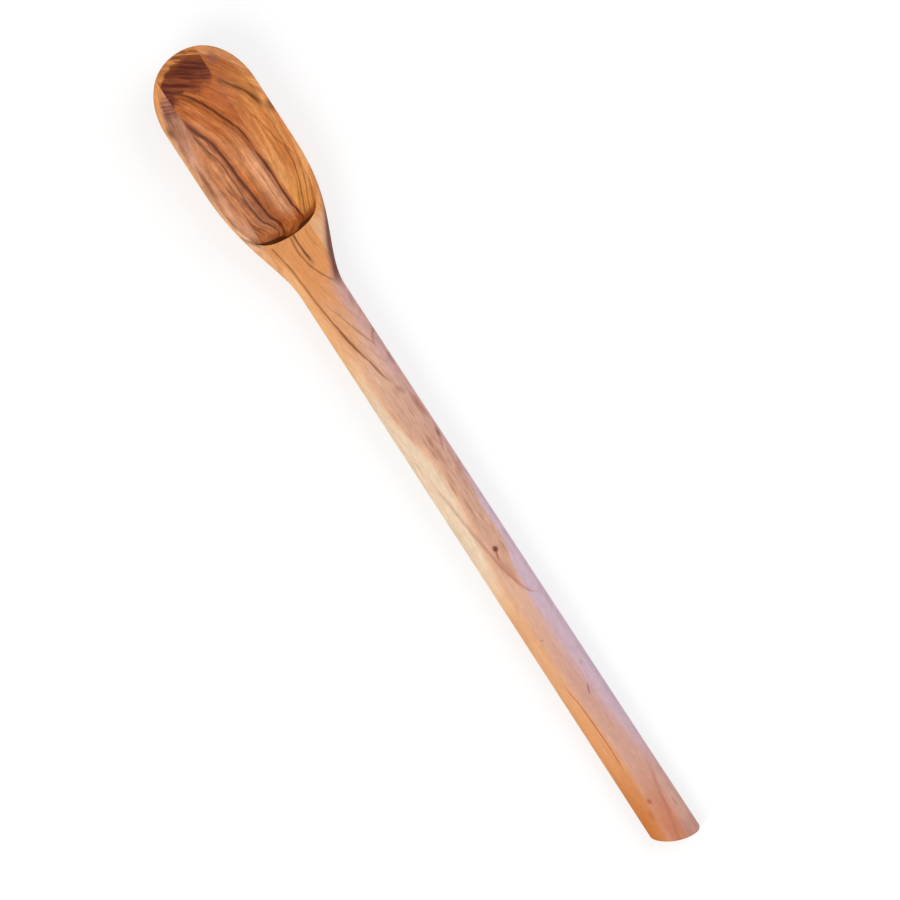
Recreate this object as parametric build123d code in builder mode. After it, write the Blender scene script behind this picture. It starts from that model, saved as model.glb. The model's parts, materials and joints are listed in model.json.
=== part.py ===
from build123d import *
import os
from math import atan2, cos, degrees, pi, sqrt

os.makedirs("parts", exist_ok=True)

# A long wooden spoon, glued up edge to edge from three strips and then carved.
# The stave runs from the bowl's tip to the handle's end, and a cheek on each side makes the bowl wide.
# X runs from the tip to the handle's end, Y to the right cheek and Z up out of the bowl's mouth.
# The origin is under the middle of the spoon, on the surface that it lies on. Lengths are in millimetres.

# Outline seen from above; a station is a distance along the spoon from the bowl's tip
overall_length = 305.0
bowl_width = 34.4
tip_length = 21.0  # from the tip to where the bowl has its full width
neck_start = 40.0  # where the right side of the bowl starts to draw in
neck_length = 52.0  # from there to the straight part of the handle
left_neck_lead = 3.5  # the left side draws in this much earlier
handle_offset = 2.1  # the handle lies to the left of the bowl's middle
stave_width = 16.6
neck_relief = 1.1  # wood carved off each side of the stave where the handle is narrowest
end_relief = 0.5  # and at the handle's end
cheek_least_thickness = 0.35  # a cheek ends where the neck has been carved down to this

# Profile seen from the side
bowl_height = 14.5
belly_station = 48.0  # the lowest point of the bowl
tip_thickness = 1.8
neck_thickness = 8.5
neck_run_out = 8.0  # the underside straightens this far behind the neck
end_thickness = 7.5
rest_flat_depth = 0.25  # sanded flat on the belly and under the handle's end

# Edges
rim_round = 0.65  # outer edge of the bowl's rim
crest_round = 0.45  # inner edge of the rim, rolled over into the hollow
handle_round_width = 6.2  # the handle is nearly oval: each corner takes this much of its width
handle_round_height = 3.4  # and this much of its height
end_edge_round = 0.7
belly_round_width_share = 0.88  # the bowl's lower corners, of its half width
belly_round_height_share = 0.80  # and of its height
top_round_width_share = 0.88  # no upper corner takes more than this of the half width
top_round_height_share = 0.45  # or of the height, at the thin tip
round_height_share = 0.92  # nor do the two corners of a side together

# Hollow of the bowl
tip_rim = 2.6
left_rim = 1.1
right_rim = 2.0
hollow_length = 67.3
floor_thickness = 4.5
tip_slope_length = 21.5  # the floor comes down over this length at the tip
end_wall_length = 11.0  # and climbs over this one at the neck

# Handle's end, a skewed arc between two rounded corners
end_arc_radius = 18.3
right_corner_radius = 2.2
left_corner_radius = 3.6
corner_clearance = 0.15  # the corners start this far outside the handle's sides

# Fullness of the curves: 2 is an ellipse, and more is squarer
outline_fullness = 2.15
underside_fullness = 2.0
neck_lag = 1.55  # above 1 the bowl keeps its width longer before it draws in
tip_slope_power = 2  # 1 is a straight slope, and more starts steeper and flattens out
end_wall_power = 3

# Tools
tool_overrun = 0.6  # cuts go this far past the wood
crest_lift = 0.02  # the rolled crest ends just above the rim, so it crosses the wood and doesn't graze it
seam_lead = 0.8  # an extra section this far before the handle keeps the loft straight there
tip_sections = 9
bowl_sections = 20
hollow_sections = 24
halvings = 40

handle_axis_y = -handle_offset
glue_right_y = handle_axis_y + stave_width / 2
glue_left_y = handle_axis_y - stave_width / 2
hollow_axis_y = (left_rim - right_rim) / 2
neck_end = neck_start + neck_length
run_out_end = neck_end + neck_run_out
hollow_end = tip_rim + hollow_length
rim_slope = (bowl_height - end_thickness) / (overall_length - belly_station)
blank_height = bowl_height + rest_flat_depth
floor_depth = bowl_height - floor_thickness


def at(station):
    """X of a station measured from the bowl's tip."""
    return station - overall_length / 2


def clamped(share):
    return min(max(share, 0), 1)


def rounded(share, fullness):
    """Quarter of a superellipse, from 0 at share 0 to 1 at share 1."""
    return (1 - (1 - clamped(share)) ** fullness) ** (1 / fullness)


def eased(share):
    """Smooth step from 0 to 1."""
    return clamped(share) ** 2 * (3 - 2 * clamped(share))


def bowl_share(station, start):
    """1 in the bowl and 0 in the handle, with a smooth neck between them."""
    return 1 - eased(clamped((station - start) / neck_length) ** neck_lag)


def handle_half_width(station):
    along = clamped((station - neck_end) / (overall_length - neck_end))
    return stave_width / 2 - neck_relief + (neck_relief - end_relief) * along


def side_y(station, direction):
    """Y of the right side (direction 1) or the left one (-1), without the rounding of the bowl's tip."""
    start = neck_start if direction > 0 else neck_start - left_neck_lead
    handle_side = handle_axis_y + direction * handle_half_width(station)
    bowl_side = direction * bowl_width / 2
    return handle_side + (bowl_side - handle_side) * bowl_share(station, start)


def outline_y(station, direction):
    return side_y(station, direction) * rounded(station / tip_length, outline_fullness)


def rim_z(station):
    """The top is one straight line from the bowl's rim down to the handle's end."""
    return end_thickness + rim_slope * (overall_length - station)


def top_z(station):
    """The top, eased down over the tip's rounded edge."""
    inside = max(rim_round - station, 0)
    return rim_z(station) - rim_round + sqrt(rim_round**2 - inside**2)


def thickness(station):
    """Wood from the rim line down to the underside, before the hollow is cut."""
    if station <= belly_station:
        rise = rounded(station / belly_station, underside_fullness)
        return tip_thickness + (blank_height - tip_thickness) * rise
    if station <= run_out_end:
        along = (station - belly_station) / (run_out_end - belly_station)
        return blank_height + (neck_thickness - blank_height) * eased(along)
    along = (station - run_out_end) / (overall_length - run_out_end)
    return neck_thickness + (end_thickness + rest_flat_depth - neck_thickness) * along


def body_section(shape_station, place_station):
    """Outline across the spoon, with four elliptical corners, at one station."""
    left, right = outline_y(shape_station, -1), outline_y(shape_station, 1)
    top = top_z(shape_station)
    bottom = rim_z(shape_station) - thickness(shape_station)
    half, height = (right - left) / 2, top - bottom
    bowl = bowl_share(shape_station, neck_start)
    handle_a, handle_b = handle_round_width * (1 - bowl), handle_round_height * (1 - bowl)
    top_a = min(rim_round * bowl + handle_a, top_round_width_share * half)
    top_b = min(rim_round * bowl + handle_b, top_round_height_share * height)
    low_a = belly_round_width_share * half * bowl + handle_a
    low_b = belly_round_height_share * height * bowl + handle_b
    low_b = min(low_b, round_height_share * height - top_b)
    with BuildSketch(Plane.YZ.offset(at(place_station))) as section:
        with BuildLine():
            EllipticalCenterArc((right - top_a, top - top_b), top_a, top_b, start_angle=0, arc_size=90)
            Line((right - top_a, top), (left + top_a, top))
            EllipticalCenterArc((left + top_a, top - top_b), top_a, top_b, start_angle=90, arc_size=90)
            Line((left, top - top_b), (left, bottom + low_b))
            EllipticalCenterArc((left + low_a, bottom + low_b), low_a, low_b, start_angle=180, arc_size=90)
            Line((left + low_a, bottom), (right - low_a, bottom))
            EllipticalCenterArc((right - low_a, bottom + low_b), low_a, low_b, start_angle=270, arc_size=90)
            Line((right, bottom + low_b), (right, top - top_b))
        make_face()
    return section.sketch


def hollow_depth(station):
    """Depth under the rim line: a gentle slope from the tip and a steep wall at the neck, softly begun."""
    from_tip = min((station - tip_rim) / tip_slope_length, 1)
    from_end = min((hollow_end - station) / end_wall_length, 1)
    depth = floor_depth * (1 - (1 - from_tip) ** tip_slope_power) * (1 - (1 - from_end) ** end_wall_power)
    if depth > crest_round:
        return depth
    return max(depth + crest_round, 0) ** 2 / (4 * crest_round)


def cutter_section(station):
    """Arc across the bowl from rim to rim, rolled over the crest of each rim, and closed above the wood."""
    half = (side_y(station, 1) - side_y(station, -1) - left_rim - right_rim) / 2
    radius = (half**2 + floor_depth**2) / (2 * floor_depth)
    depth = hollow_depth(station) - crest_lift / 2
    centre_z = radius - depth
    roll_z = crest_lift - crest_round
    roll_y = sqrt((radius + crest_round) ** 2 - (centre_z - roll_z) ** 2)
    turn = degrees(atan2(roll_y, centre_z - roll_z))
    across = Plane(origin=(at(station), hollow_axis_y, rim_z(station)), x_dir=(0, 1, 0), z_dir=(1, 0, 0))
    with BuildSketch(across) as section:
        with BuildLine():
            CenterArc((0, centre_z), radius, start_angle=270 - turn, arc_size=2 * turn)
            CenterArc((roll_y, roll_z), crest_round, start_angle=90, arc_size=turn)
            CenterArc((-roll_y, roll_z), crest_round, start_angle=90, arc_size=-turn)
            Line((roll_y, crest_lift), (roll_y, tool_overrun))
            Line((roll_y, tool_overrun), (-roll_y, tool_overrun))
            Line((-roll_y, tool_overrun), (-roll_y, crest_lift))
        make_face()
    return section.sketch


def cheek_end(direction):
    """Station where the neck's side has come so near the glue plane that the cheek is at its thinnest."""
    glue_y = handle_axis_y + direction * stave_width / 2
    thick, thin = neck_start, neck_end
    for halving in range(halvings):
        middle = (thick + thin) / 2
        if direction * (side_y(middle, direction) - glue_y) > cheek_least_thickness:
            thick = middle
        else:
            thin = middle
    return thin


# Blank: the bowl and neck lofted through sections, and the handle as one straight taper behind them
bowl_step = (run_out_end - tip_length) / bowl_sections
tip_stations = [tip_length * (step / tip_sections) ** 2 for step in range(1, tip_sections + 1)]
bowl_stations = [tip_length + bowl_step * step for step in range(1, bowl_sections)]
head_stations = tip_stations + bowl_stations + [run_out_end - seam_lead, run_out_end]
blunt_tip = tip_stations[0] / 4
head_sections = [body_section(blunt_tip, 0)]
head_sections += [body_section(station, station) for station in head_stations]
handle_ends = [run_out_end, overall_length + tool_overrun]
handle_sections = [body_section(station, station) for station in handle_ends]
with BuildPart() as blank:
    loft(head_sections)
    loft(handle_sections, ruled=True)

# Hollow: a loft of arcs from its tip to the neck, with the sections closest together at both ends
hollow_start = tip_rim - crest_round * tip_slope_length / (tip_slope_power * floor_depth)
hollow_stop = hollow_end + crest_round * end_wall_length / (end_wall_power * floor_depth)
hollow_middle = (hollow_start + hollow_stop) / 2
hollow_reach = (hollow_stop - hollow_start) / 2
cutter_turns = [pi * step / hollow_sections for step in range(hollow_sections + 1)]
cutter_sections = [cutter_section(hollow_middle - hollow_reach * cos(turn)) for turn in cutter_turns]

# Handle's end: everything outside a skewed arc with rounded corners is waste
end_half_width = handle_half_width(overall_length) + corner_clearance
end_arc_x = at(overall_length) - end_arc_radius
end_arc_y = handle_axis_y + end_half_width - right_corner_radius
with BuildSketch() as end_outline:
    with Locations((end_arc_x, end_arc_y)):
        Circle(end_arc_radius)
    with Locations((at(overall_length), handle_axis_y)):
        Rectangle(2 * end_arc_radius, 2 * end_half_width, mode=Mode.INTERSECT)
    fillet(end_outline.vertices().group_by(Axis.Y)[-1].sort_by(Axis.X)[-1], right_corner_radius)
    fillet(end_outline.vertices().group_by(Axis.Y)[0].sort_by(Axis.X)[-1], left_corner_radius)
with BuildSketch(Plane.XY.offset(-tool_overrun)) as end_waste:
    with Locations((at(overall_length), handle_axis_y)):
        Rectangle(2 * end_arc_radius, 2 * stave_width)
    add(end_outline.sketch, mode=Mode.SUBTRACT)

# Spoon: hollow the bowl, shape the handle's end, ease its edge and sand the two flats that it rests on
with BuildPart() as spoon:
    add(blank.part)
    loft(cutter_sections, mode=Mode.SUBTRACT)
    extrude(end_waste.sketch, amount=blank_height, mode=Mode.SUBTRACT)
    end_faces = spoon.faces().filter_by(GeomType.CYLINDER)
    end_loop = end_faces.edges().filter_by(GeomType.LINE, reverse=True)
    fillet(end_loop, end_edge_round)
    split(bisect_by=Plane.XY, keep=Keep.TOP)

# Three strips: each cheek ends where the neck has thinned it out, and the stave is all the rest
glue_right = Plane(origin=(0, glue_right_y, 0), z_dir=(0, 1, 0))
glue_left = Plane(origin=(0, glue_left_y, 0), z_dir=(0, 1, 0))
with BuildPart() as right_cheek:
    add(spoon.part)
    split(bisect_by=glue_right, keep=Keep.TOP)
    split(bisect_by=Plane.YZ.offset(at(cheek_end(1))), keep=Keep.BOTTOM)
with BuildPart() as left_cheek:
    add(spoon.part)
    split(bisect_by=glue_left, keep=Keep.BOTTOM)
    split(bisect_by=Plane.YZ.offset(at(cheek_end(-1))), keep=Keep.BOTTOM)
with BuildPart() as stave:
    add(spoon.part)
    add([right_cheek.part, left_cheek.part], mode=Mode.SUBTRACT)

stave.part.label = "stave"
export_step(stave.part, "parts/stave.step")
right_cheek.part.label = "right_cheek"
export_step(right_cheek.part, "parts/right_cheek.step")
left_cheek.part.label = "left_cheek"
export_step(left_cheek.part, "parts/left_cheek.step")
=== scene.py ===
# %% [markdown]
# # A wooden spoon, carved from three glued strips
#
# The spoon is one long stave with a cheek glued to each side of it, carved and oiled as a whole.
# Its construction comes from the CAD frame. Here each strip is meshed again as a smooth carved surface,
# and gets its own piece of wood: growth layers, fibres, pores, a knot and the wear of a used spoon. Painted
# shade also darkens the neck's right flank and, with dark end grain, the steep wall, and the handle's right
# side is partly tinted by a painted cool reflection.

# %% Load the frame
import bmesh
import bpy
import json
from math import atan2, cos, pi, radians, sin, sqrt
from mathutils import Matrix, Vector

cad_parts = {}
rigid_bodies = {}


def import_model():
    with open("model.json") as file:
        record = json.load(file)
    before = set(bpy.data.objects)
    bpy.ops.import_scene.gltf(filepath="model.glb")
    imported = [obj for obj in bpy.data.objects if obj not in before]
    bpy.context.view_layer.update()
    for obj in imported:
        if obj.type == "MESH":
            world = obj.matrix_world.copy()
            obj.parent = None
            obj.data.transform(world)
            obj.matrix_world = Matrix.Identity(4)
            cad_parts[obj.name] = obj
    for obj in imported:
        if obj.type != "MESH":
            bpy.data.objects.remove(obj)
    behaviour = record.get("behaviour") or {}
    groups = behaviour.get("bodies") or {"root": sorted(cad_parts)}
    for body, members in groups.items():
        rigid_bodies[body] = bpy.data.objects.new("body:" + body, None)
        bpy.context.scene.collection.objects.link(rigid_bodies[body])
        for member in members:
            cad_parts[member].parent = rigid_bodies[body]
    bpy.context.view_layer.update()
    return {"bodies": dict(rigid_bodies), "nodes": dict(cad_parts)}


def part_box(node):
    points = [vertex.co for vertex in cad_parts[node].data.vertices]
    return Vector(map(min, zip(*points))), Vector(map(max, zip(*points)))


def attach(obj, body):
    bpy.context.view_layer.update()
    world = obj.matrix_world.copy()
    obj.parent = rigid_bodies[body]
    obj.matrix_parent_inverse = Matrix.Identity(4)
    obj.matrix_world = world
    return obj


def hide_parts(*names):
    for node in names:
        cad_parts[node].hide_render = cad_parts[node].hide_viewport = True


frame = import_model()
body = sorted(frame["bodies"])[0]
print("Body:", body, "nodes:", sorted(frame["nodes"]))

# %% [markdown]
# ## Sizes
#
# The places where the strips meet, and the spoon's outer size, are read from the frame, so the looks follow
# the construction. The carver's own sizes, such as how far the hollow stays from the rim, are named below.
# A station is a distance along the spoon from the bowl's tip, and every length is in metres.

# %% Sizes of the spoon
mm = 0.001
stave_low, stave_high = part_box("stave")
right_low, right_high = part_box("right_cheek")
left_low, left_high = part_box("left_cheek")
tip_x = stave_low.x
overall_length = stave_high.x - stave_low.x
bowl_width = right_high.y - left_low.y
glue_right_y = right_low.y
glue_left_y = left_high.y
handle_axis_y = (glue_right_y + glue_left_y) / 2
stave_width = glue_right_y - glue_left_y
tip_length = 21 * mm
neck_start = 40 * mm
neck_length = 52 * mm
left_neck_lead = 3.5 * mm
neck_relief = 1.1 * mm
end_relief = 0.5 * mm
bowl_height = 14.5 * mm
belly_station = 48 * mm
tip_thickness = 1.8 * mm
neck_thickness = 8.5 * mm
neck_run_out = 8 * mm
end_thickness = 7.5 * mm
rest_flat_depth = 0.25 * mm
print("Length %.1f mm, bowl %.1f mm wide, stave %.1f mm wide"
      % (overall_length / mm, bowl_width / mm, stave_width / mm))

# %% Sizes of the edges and of the hollow
rim_round = 0.65 * mm
crest_round = 0.45 * mm
handle_round_width = 6.2 * mm
handle_round_height = 3.4 * mm
end_edge_round = 0.7 * mm
tip_rim = 2.6 * mm
left_rim = 1.1 * mm
right_rim = 2.0 * mm
hollow_length = 67.3 * mm
floor_thickness = 4.5 * mm
tip_slope_length = 21.5 * mm
end_wall_length = 11 * mm
end_arc_radius = 18.3 * mm
right_corner_radius = 2.2 * mm
left_corner_radius = 3.6 * mm
corner_clearance = 0.15 * mm
belly_round_width_share, belly_round_height_share = 0.88, 0.80
top_round_width_share, top_round_height_share = 0.88, 0.45
round_height_share = 0.92
outline_fullness, underside_fullness = 2.15, 2.0
neck_lag, tip_slope_power, end_wall_power = 1.55, 2, 3

hollow_axis_y = (left_rim - right_rim) / 2
neck_end = neck_start + neck_length
run_out_end = neck_end + neck_run_out
hollow_end = tip_rim + hollow_length
rim_slope = (bowl_height - end_thickness) / (overall_length - belly_station)
blank_height = bowl_height + rest_flat_depth
floor_depth = bowl_height - floor_thickness
hollow_start = tip_rim - crest_round * tip_slope_length / (tip_slope_power * floor_depth)
hollow_stop = hollow_end + crest_round * end_wall_length / (end_wall_power * floor_depth)

# %% [markdown]
# ## The form as a few curves
#
# A carver thinks of the spoon as an outline from above, a profile from the side and a section at each
# place along it. These functions say just that. Subdivision of a rough cage could give the same softness,
# but curves keep the width, the thin rim and the steep wall at the neck exactly where the frame has them.

# %% Curves of the outline and the profile
def clamped(share):
    return min(max(share, 0), 1)


def rounded(share, fullness):
    """Quarter of a superellipse, from 0 at share 0 to 1 at share 1."""
    return (1 - (1 - clamped(share)) ** fullness) ** (1 / fullness)


def eased(share):
    """Smooth step from 0 to 1."""
    return clamped(share) ** 2 * (3 - 2 * clamped(share))


def bowl_share(station, start):
    """1 in the bowl and 0 in the handle."""
    return 1 - eased(clamped((station - start) / neck_length) ** neck_lag)


def side_y(station, direction):
    """Y of the right side (direction 1) or the left one (-1), without the rounding of the tip."""
    along = clamped((station - neck_end) / (overall_length - neck_end))
    half_width = stave_width / 2 - neck_relief + (neck_relief - end_relief) * along
    handle_side = handle_axis_y + direction * half_width
    bowl_side = direction * bowl_width / 2
    start = neck_start if direction > 0 else neck_start - left_neck_lead
    return handle_side + (bowl_side - handle_side) * bowl_share(station, start)


def rim_z(station):
    """The top is one straight line from the bowl's rim down to the handle's end."""
    return end_thickness + rim_slope * (overall_length - station)


def top_z(station):
    inside = max(rim_round - station, 0)
    return rim_z(station) - rim_round + sqrt(rim_round**2 - inside**2)


def thickness(station):
    """Wood from the rim line down to the underside, before the hollow is cut."""
    if station <= belly_station:
        swell = rounded(station / belly_station, underside_fullness)
        return tip_thickness + (blank_height - tip_thickness) * swell
    if station <= run_out_end:
        along = (station - belly_station) / (run_out_end - belly_station)
        return blank_height + (neck_thickness - blank_height) * eased(along)
    along = (station - run_out_end) / (overall_length - run_out_end)
    return neck_thickness + (end_thickness + rest_flat_depth - neck_thickness) * along


print("Rim at the tip %.1f mm up, at the handle's end %.1f mm" % (rim_z(0) / mm, rim_z(overall_length) / mm))

# %% Section of the hollow
def hollow_depth(station):
    """Depth of the hollow's floor under the rim line at this station."""
    from_tip = min((station - tip_rim) / tip_slope_length, 1)
    from_end = min((hollow_end - station) / end_wall_length, 1)
    depth = floor_depth * (1 - (1 - from_tip) ** tip_slope_power) * (1 - (1 - from_end) ** end_wall_power)
    if depth > crest_round:
        return depth
    return max(depth + crest_round, 0) ** 2 / (4 * crest_round)


def hollow_points(station, across):
    """Points across the hollow from its right crest to its left one, as (y, height over the rim line)."""
    half = (side_y(station, 1) - side_y(station, -1) - left_rim - right_rim) / 2
    radius = (half**2 + floor_depth**2) / (2 * floor_depth)
    centre = radius - hollow_depth(station)
    roll_y = sqrt(max((radius + crest_round) ** 2 - (centre + crest_round) ** 2, 0))
    turn = atan2(roll_y, centre + crest_round)
    roll_share = 0.16
    points = []
    for step in range(across + 1):
        share = 1 - 2 * step / across
        direction = 1 if share >= 0 else -1
        along = abs(share)
        if along <= 1 - roll_share:
            angle = turn * along / (1 - roll_share)
            y, z = radius * sin(angle), centre - radius * cos(angle)
        else:
            angle = turn * (1 - along) / roll_share
            y, z = roll_y - crest_round * sin(angle), crest_round * cos(angle) - crest_round
        points.append((hollow_axis_y + direction * y, z))
    return points

# %% [markdown]
# ## One skin of loops
#
# At each station the skin is one closed loop: over the right edge, across the rim, down through the
# hollow, up to the other rim and back underneath. Where there is no hollow its points all sit on the
# hollow's axis, so the crest of the bowl is a clean line of edges that opens at the tip and closes at the
# neck.

# %% Loops around the spoon
corner_steps, rim_steps, hollow_steps = 8, 6, 56
side_steps, belly_steps, floor_steps = 4, 18, 8
bluntest_station = 0.02 * mm


def quarter(centre, width, height, start, steps):
    """Points of a quarter ellipse after its first point; start counts right angles from the right."""
    for step in range(1, steps + 1):
        angle = (start + step / steps) * pi / 2
        yield (centre[0] + width * cos(angle), centre[1] + height * sin(angle))


def straight(start, end, steps):
    for step in range(1, steps + 1):
        yield tuple(a + (b - a) * step / steps for a, b in zip(start, end))


def section_loop(station):
    """Closed loop of (y, z) points, counter-clockwise as seen from the handle's end."""
    shape = max(station, bluntest_station)
    full = rounded(shape / tip_length, outline_fullness)
    left, right = side_y(shape, -1) * full, side_y(shape, 1) * full
    top, bottom = top_z(shape), rim_z(shape) - thickness(shape)
    half, height = (right - left) / 2, top - bottom
    bowl = bowl_share(shape, neck_start)
    top_a = min(rim_round * bowl + handle_round_width * (1 - bowl), top_round_width_share * half)
    top_b = min(rim_round * bowl + handle_round_height * (1 - bowl), top_round_height_share * height)
    low_a = belly_round_width_share * half * bowl + handle_round_width * (1 - bowl)
    low_b = belly_round_height_share * height * bowl + handle_round_height * (1 - bowl)
    low_b = min(low_b, round_height_share * height - top_b)
    if hollow_start < station < hollow_stop:
        hollow = [(y, top + z) for y, z in hollow_points(station, hollow_steps)]
    else:
        behind = eased((station - hollow_stop) / (run_out_end - hollow_stop))
        seam_y = hollow_axis_y + (handle_axis_y - hollow_axis_y) * behind
        hollow = [(seam_y, top)] * (hollow_steps + 1)
    loop = [(right, top - top_b)]
    loop += quarter((right - top_a, top - top_b), top_a, top_b, 0, corner_steps)
    loop += straight((right - top_a, top), hollow[0], rim_steps)
    loop += hollow[1:]
    loop += straight(hollow[-1], (left + top_a, top), rim_steps)
    loop += quarter((left + top_a, top - top_b), top_a, top_b, 1, corner_steps)
    loop += straight((left, top - top_b), (left, bottom + low_b), side_steps)
    loop += quarter((left + low_a, bottom + low_b), low_a, low_b, 2, belly_steps)
    loop += straight((left + low_a, bottom), (right - low_a, bottom), floor_steps)
    loop += quarter((right - low_a, bottom + low_b), low_a, low_b, 3, belly_steps)
    loop += list(straight((right, bottom + low_b), (right, top - top_b), side_steps))[:-1]
    return loop


# %% Stations and the handle's end
tip_rows, hollow_rows, neck_rows, handle_rows, end_rows = 14, 84, 26, 60, 8
end_run = 28 * mm


def end_x_at(y):
    """X of the handle's skewed end above a given y: an arc with a rounded corner at each side."""
    half = stave_width / 2 - end_relief + corner_clearance
    arc_x = tip_x + overall_length - end_arc_radius
    arc_y = handle_axis_y + half - right_corner_radius
    x = arc_x + sqrt(max(end_arc_radius**2 - (y - arc_y) ** 2, 0))
    for direction, radius in ((1, right_corner_radius), (-1, left_corner_radius)):
        side = handle_axis_y + direction * half
        corner_y = side - direction * radius
        reach = sqrt((end_arc_radius - radius) ** 2 - (corner_y - arc_y) ** 2)
        meeting_y = arc_y + (corner_y - arc_y) * end_arc_radius / (end_arc_radius - radius)
        if direction * (y - meeting_y) > 0:
            x = arc_x + reach + sqrt(max(radius**2 - (y - corner_y) ** 2, 0))
    return x


stations = [tip_length * (row / tip_rows) ** 2 for row in range(tip_rows + 1)]
stations = [s for s in stations if s < hollow_start]
hollow_middle, hollow_reach = (hollow_start + hollow_stop) / 2, (hollow_stop - hollow_start) / 2
stations += [hollow_middle - hollow_reach * cos(pi * row / hollow_rows) for row in range(hollow_rows + 1)]
stations += [hollow_stop + (run_out_end - hollow_stop) * row / neck_rows for row in range(1, neck_rows + 1)]
handle_run = overall_length - end_run - run_out_end
stations += [run_out_end + handle_run * row / handle_rows for row in range(1, handle_rows + 1)]
print("Rows of the skin:", len(stations), "points in each:", len(section_loop(belly_station)))

# %% [markdown]
# ## From loops to a closed skin
#
# Neighbouring loops are joined by four-sided faces. The blunt tip and the vertical face of the handle's
# end are closed by a ladder of triangles between the upper and the lower half of the last loop, which
# keeps them on their own curve, where one big face would bend unevenly.

# %% Rows of the skin
def rows_of_points():
    """Loops of points from the tip to the handle's end, in the frame's metres."""
    rows = [[Vector((tip_x + s, y, z)) for y, z in section_loop(s)] for s in stations]
    first = stations[-1]
    for row in range(1, end_rows + 1):
        share = row / end_rows
        loop = section_loop(first + (overall_length - first) * share)
        middle = (max(z for y, z in loop) + min(z for y, z in loop)) / 2
        reach = max(z for y, z in loop) - middle
        points = []
        for y, z in loop:
            edge = end_edge_round * abs(z - middle) / reach
            points.append(Vector((tip_x + first + (end_x_at(y) - edge - tip_x - first) * share, y, z)))
        rows.append(points)
    for step in range(1, corner_steps + 1):
        angle = step / corner_steps * pi / 2
        points = []
        for y, z in loop:
            edge = end_edge_round * abs(z - middle) / reach
            inwards = edge * (1 - cos(angle)) * (1 if z > middle else -1)
            points.append(Vector((end_x_at(y) - edge * (1 - sin(angle)), y, z - inwards)))
        rows.append(points)
    return rows


def ladder(skin, loop, facing):
    """Closes a loop with triangles between its upper half and its lower half."""
    ring = list(dict.fromkeys(loop))
    right = max(range(len(ring)), key=lambda i: ring[i].co.y)
    ring = ring[right:] + ring[:right]
    left = min(range(len(ring)), key=lambda i: ring[i].co.y)
    upper, lower = ring[:left + 1], [ring[0]] + ring[:left - 1:-1]
    i = j = 0
    while i < len(upper) - 1 or j < len(lower) - 1:
        over = j == len(lower) - 1 or (i < len(upper) - 1 and upper[i + 1].co.y >= lower[j + 1].co.y)
        corners = [upper[i], lower[j], upper[i + 1] if over else lower[j + 1]]
        i, j = (i + 1, j) if over else (i, j + 1)
        if len(set(corners)) == 3:
            skin.faces.new(corners if facing > 0 else corners[::-1])


# %% The whole spoon as one skin
same_point = 1e-7


def whole_spoon():
    skin = bmesh.new()
    rings = []
    for points in rows_of_points():
        ring = []
        for point in points:
            if ring and (point - ring[-1].co).length < same_point:
                ring.append(ring[-1])
            else:
                ring.append(skin.verts.new(point))
        rings.append(ring)
    for near, far in zip(rings, rings[1:]):
        for i in range(len(near)):
            corners = [near[i - 1], near[i], far[i], far[i - 1]]
            corners = list(dict.fromkeys(corners))
            if len(corners) > 2:
                skin.faces.new(corners)
    ladder(skin, rings[0], -1)
    ladder(skin, rings[-1], 1)
    bmesh.ops.recalc_face_normals(skin, faces=skin.faces)
    flat = [v for v in skin.verts if v.co.z < 0]
    for vertex in flat:
        vertex.co.z = 0
    mesh = bpy.data.meshes.new("whole_spoon")
    skin.to_mesh(mesh)
    print("Skin: %d points, %d faces, open edges %d"
          % (len(skin.verts), len(skin.faces), sum(not e.is_manifold for e in skin.edges)))
    skin.free()
    return mesh


spoon_mesh = whole_spoon()

# %% [markdown]
# ## Three strips
#
# On the bench the strips are glued first and carved together, so their surfaces run on across the glue
# lines. Here the whole carved skin is cut along the glue planes with boxes, as a saw would open the joints
# again. A boolean closes each cut with a flat face, and nothing has to be matched by hand.

# %% Cut the skin along the glue planes
def block(name, low, high):
    """A box between two corners, used only as a cutting tool."""
    shape = bmesh.new()
    bmesh.ops.create_cube(shape, size=1)
    middle, size = (low + high) / 2, high - low
    for vertex in shape.verts:
        vertex.co = middle + Vector(c * s for c, s in zip(vertex.co, size))
    mesh = bpy.data.meshes.new(name)
    shape.to_mesh(mesh)
    shape.free()
    made = bpy.data.objects.new(name, mesh)
    bpy.context.scene.collection.objects.link(made)
    return made


def sawn(name, tools, operation):
    """The carved skin after a boolean with each tool, as a new object."""
    piece = bpy.data.objects.new(name, spoon_mesh.copy())
    bpy.context.scene.collection.objects.link(piece)
    for tool in tools:
        cut = piece.modifiers.new("saw", "BOOLEAN")
        cut.object, cut.operation, cut.solver = tool, operation, "EXACT"
    graph = bpy.context.evaluated_depsgraph_get()
    cut_mesh = bpy.data.meshes.new_from_object(piece.evaluated_get(graph))
    piece.modifiers.clear()
    piece.data = cut_mesh
    cut_mesh.name = name
    cut_mesh.shade_smooth()
    cut_mesh.set_sharp_from_angle(angle=radians(sharp_above_degrees))
    print("%s: %d faces" % (name, len(cut_mesh.polygons)))
    return piece


sharp_above_degrees = 38
margin = 10 * mm
right_block = block("right_block", Vector((tip_x - margin, glue_right_y, -margin)),
                    Vector((right_high.x, bowl_width, bowl_height + margin)))
left_block = block("left_block", Vector((tip_x - margin, -bowl_width, -margin)),
                   Vector((left_high.x, glue_left_y, bowl_height + margin)))
stave = sawn("carved_stave", [right_block, left_block], "DIFFERENCE")
right_cheek = sawn("carved_right_cheek", [right_block], "INTERSECT")
left_cheek = sawn("carved_left_cheek", [left_block], "INTERSECT")
for tool in (right_block, left_block):
    bpy.data.objects.remove(tool)
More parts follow.
